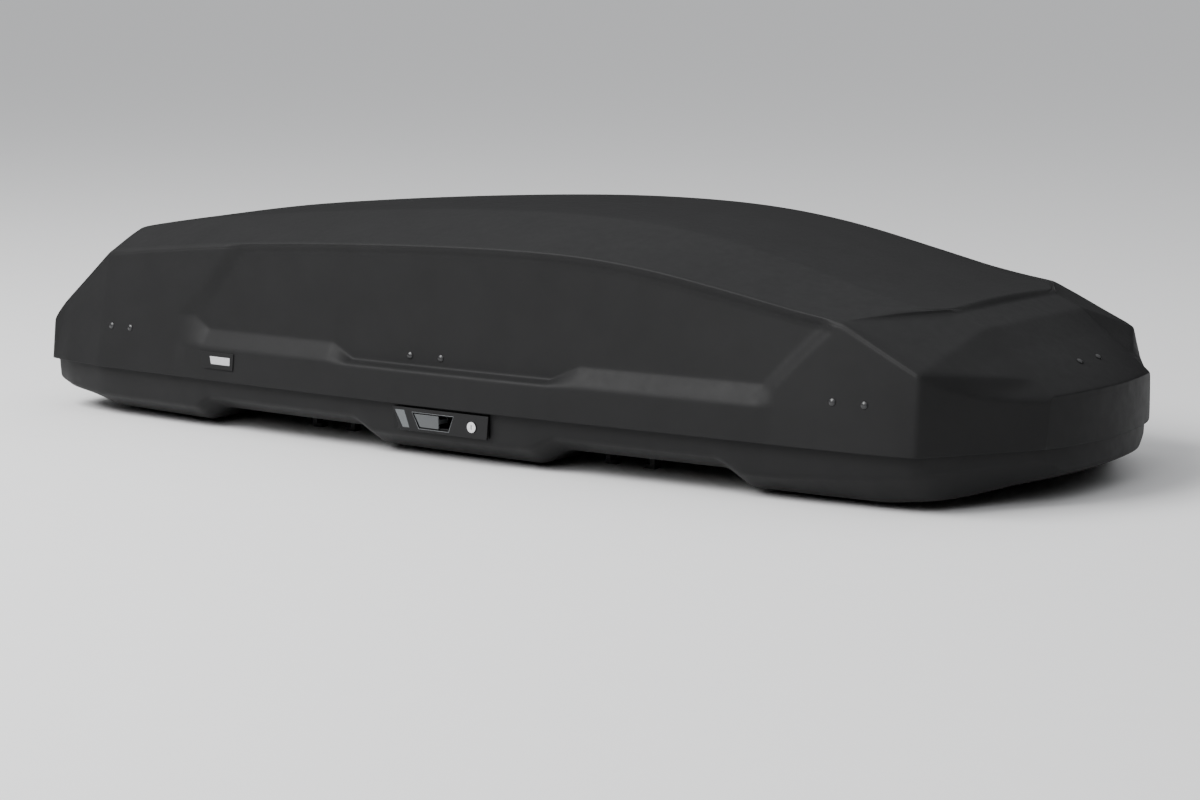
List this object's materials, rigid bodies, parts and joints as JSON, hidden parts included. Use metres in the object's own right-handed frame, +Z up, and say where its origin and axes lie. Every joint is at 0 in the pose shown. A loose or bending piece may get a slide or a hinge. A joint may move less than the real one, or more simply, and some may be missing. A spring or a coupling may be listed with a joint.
{
  "type": "roof cargo box",
  "caption": "Long faceted hard-shell roof cargo box for a car, with a lid hinged on both sides, side locks, gas struts and quick clamps for crossbars.",
  "frame": {"origin": "on the ground under the middle of the box, as it stands on its four clamp jaws", "axes": "+X towards the nose, +Y towards the far side, +Z up; the side seen with its handle is -Y"},
  "size_m": [2.13, 0.8596, 0.4324],
  "materials": {
    "shell_black": "fine-grained matt ABS, slightly warm black",
    "trim_black": "glossy black moulded plastic",
    "clamp_black": "glass-filled nylon, satin",
    "steel": "zinc-plated, fine brushed",
    "strut_black": "black enamel",
    "slider_grey": "satin moulded plastic",
    "reflector_grey": "prismatic grey reflector",
    "lock_silver": "satin chrome",
    "badge_light": "plain light plate"
  },
  "bodies": {
    "base": {"base_shell": "shell_black", "near_mount_track": "steel", "far_mount_track": "steel", "clamp_housings": "clamp_black", "near_hinge_brackets": "steel", "far_hinge_brackets": "steel", "near_hinge_pins": "steel", "far_hinge_pins": "steel", "near_strut_feet": "steel", "far_strut_feet": "steel", "near_handle_housing": "trim_black", "far_handle_housing": "trim_black", "near_reflector": "reflector_grey", "far_reflector": "reflector_grey"},
    "lid": {"lid_shell": "shell_black", "near_strikers": "steel", "far_strikers": "steel", "near_badge_plate": "badge_light", "far_badge_plate": "badge_light", "lid_bows": "steel", "nose_bracket": "steel", "lid_rivets": "clamp_black"},
    "near_rail": {"near_hinge_rail": "steel"},
    "near_bar": {"near_lock_bar": "steel"},
    "near_thumb": {"near_thumb_slider": "slider_grey"},
    "near_lock": {"near_lock_cylinder": "lock_silver"},
    "near_tubes": {"near_strut_tubes": "strut_black"},
    "near_rods": {"near_strut_rods": "steel"},
    "far_rail": {"far_hinge_rail": "steel"},
    "far_bar": {"far_lock_bar": "steel"},
    "far_thumb": {"far_thumb_slider": "slider_grey"},
    "far_lock": {"far_lock_cylinder": "lock_silver"},
    "far_tubes": {"far_strut_tubes": "strut_black"},
    "far_rods": {"far_strut_rods": "steel"},
    "rear_near_clamp_jaw": {"rear_near_jaw": "clamp_black"},
    "rear_near_clamp_knob": {"rear_near_knob": "clamp_black"},
    "rear_far_clamp_jaw": {"rear_far_jaw": "clamp_black"},
    "rear_far_clamp_knob": {"rear_far_knob": "clamp_black"},
    "front_near_clamp_jaw": {"front_near_jaw": "clamp_black"},
    "front_near_clamp_knob": {"front_near_knob": "clamp_black"},
    "front_far_clamp_jaw": {"front_far_jaw": "clamp_black"},
    "front_far_clamp_knob": {"front_far_knob": "clamp_black"}
  },
  "joints": [
    {"name": "open_far_side", "type": "hinge", "parent": "base", "child": "near_rail", "pos_m": [0, -0.375, 0.072], "axis": [1, 0, 0], "range_deg": [0, 45]},
    {"name": "open_near_side", "type": "hinge", "parent": "near_rail", "child": "lid", "pos_m": [0, 0.375, 0.072], "axis": [1, 0, 0], "range_deg": [-45, 0]},
    {"name": "far_rail_turn", "type": "hinge", "parent": "base", "child": "far_rail", "pos_m": [0, 0.375, 0.072], "axis": [1, 0, 0], "range_deg": [-45, 0]},
    {"name": "near_strut_swing", "type": "hinge", "parent": "base", "child": "near_tubes", "pos_m": [0, -0.3, 0.035], "axis": [1, 0, 0], "range_deg": [0, 45.3]},
    {"name": "near_strut_stroke", "type": "slide", "parent": "near_tubes", "child": "near_rods", "axis": [0, 0.7526, 0.6585], "range_m": [0, 0.0648]},
    {"name": "near_lock_bar_slide", "type": "slide", "parent": "near_rail", "child": "near_bar", "axis": [1, 0, 0], "range_m": [0, 0.022]},
    {"name": "near_thumb_slide", "type": "slide", "parent": "base", "child": "near_thumb", "axis": [1, 0, 0], "range_m": [0, 0.022]},
    {"name": "near_key_turn", "type": "hinge", "parent": "base", "child": "near_lock", "pos_m": [0.052, -0.4255, 0.069], "axis": [0, 1, 0], "range_deg": [0, 90]},
    {"name": "far_strut_swing", "type": "hinge", "parent": "base", "child": "far_tubes", "pos_m": [0, 0.3, 0.035], "axis": [1, 0, 0], "range_deg": [-45.3, 0]},
    {"name": "far_strut_stroke", "type": "slide", "parent": "far_tubes", "child": "far_rods", "axis": [0, -0.7526, 0.6585], "range_m": [0, 0.0648]},
    {"name": "far_lock_bar_slide", "type": "slide", "parent": "far_rail", "child": "far_bar", "axis": [1, 0, 0], "range_m": [0, 0.022]},
    {"name": "far_thumb_slide", "type": "slide", "parent": "base", "child": "far_thumb", "axis": [1, 0, 0], "range_m": [0, 0.022]},
    {"name": "far_key_turn", "type": "hinge", "parent": "base", "child": "far_lock", "pos_m": [0.052, 0.4255, 0.069], "axis": [0, 1, 0], "range_deg": [-90, 0]},
    {"name": "rear_near_jaw_lift", "type": "slide", "parent": "base", "child": "rear_near_clamp_jaw", "axis": [0, 0, 1], "range_m": [-0.012, 0]},
    {"name": "rear_near_knob_turn", "type": "hinge", "parent": "base", "child": "rear_near_clamp_knob", "pos_m": [-0.41, -0.25, 0.1], "axis": [0, 0, 1], "range_deg": [0, 270]},
    {"name": "rear_far_jaw_lift", "type": "slide", "parent": "base", "child": "rear_far_clamp_jaw", "axis": [0, 0, 1], "range_m": [-0.012, 0]},
    {"name": "rear_far_knob_turn", "type": "hinge", "parent": "base", "child": "rear_far_clamp_knob", "pos_m": [-0.41, 0.25, 0.1], "axis": [0, 0, 1], "range_deg": [0, 270]},
    {"name": "front_near_jaw_lift", "type": "slide", "parent": "base", "child": "front_near_clamp_jaw", "axis": [0, 0, 1], "range_m": [-0.012, 0]},
    {"name": "front_near_knob_turn", "type": "hinge", "parent": "base", "child": "front_near_clamp_knob", "pos_m": [0.27, -0.25, 0.1], "axis": [0, 0, 1], "range_deg": [0, 270]},
    {"name": "front_far_jaw_lift", "type": "slide", "parent": "base", "child": "front_far_clamp_jaw", "axis": [0, 0, 1], "range_m": [-0.012, 0]},
    {"name": "front_far_knob_turn", "type": "hinge", "parent": "base", "child": "front_far_clamp_knob", "pos_m": [0.27, 0.25, 0.1], "axis": [0, 0, 1], "range_deg": [0, 270]}
  ],
  "couplings": [
    {"joint": "far_rail_turn", "follows": "open_near_side", "ratio": 1},
    {"joint": "near_strut_swing", "follows": "open_far_side", "ratio": 1.0004},
    {"joint": "near_strut_stroke", "follows": "open_far_side", "m_per_rad": 0.081497},
    {"joint": "near_thumb_slide", "follows": "near_lock_bar_slide", "ratio": 1},
    {"joint": "far_strut_swing", "follows": "open_near_side", "ratio": 1.0004},
    {"joint": "far_strut_stroke", "follows": "open_near_side", "m_per_rad": -0.081497},
    {"joint": "far_thumb_slide", "follows": "far_lock_bar_slide", "ratio": 1},
    {"joint": "rear_near_knob_turn", "follows": "rear_near_jaw_lift", "rad_per_m": -392.7},
    {"joint": "rear_far_knob_turn", "follows": "rear_far_jaw_lift", "rad_per_m": -392.7},
    {"joint": "front_near_knob_turn", "follows": "front_near_jaw_lift", "rad_per_m": -392.7},
    {"joint": "front_far_knob_turn", "follows": "front_far_jaw_lift", "rad_per_m": -392.7}
  ]
}
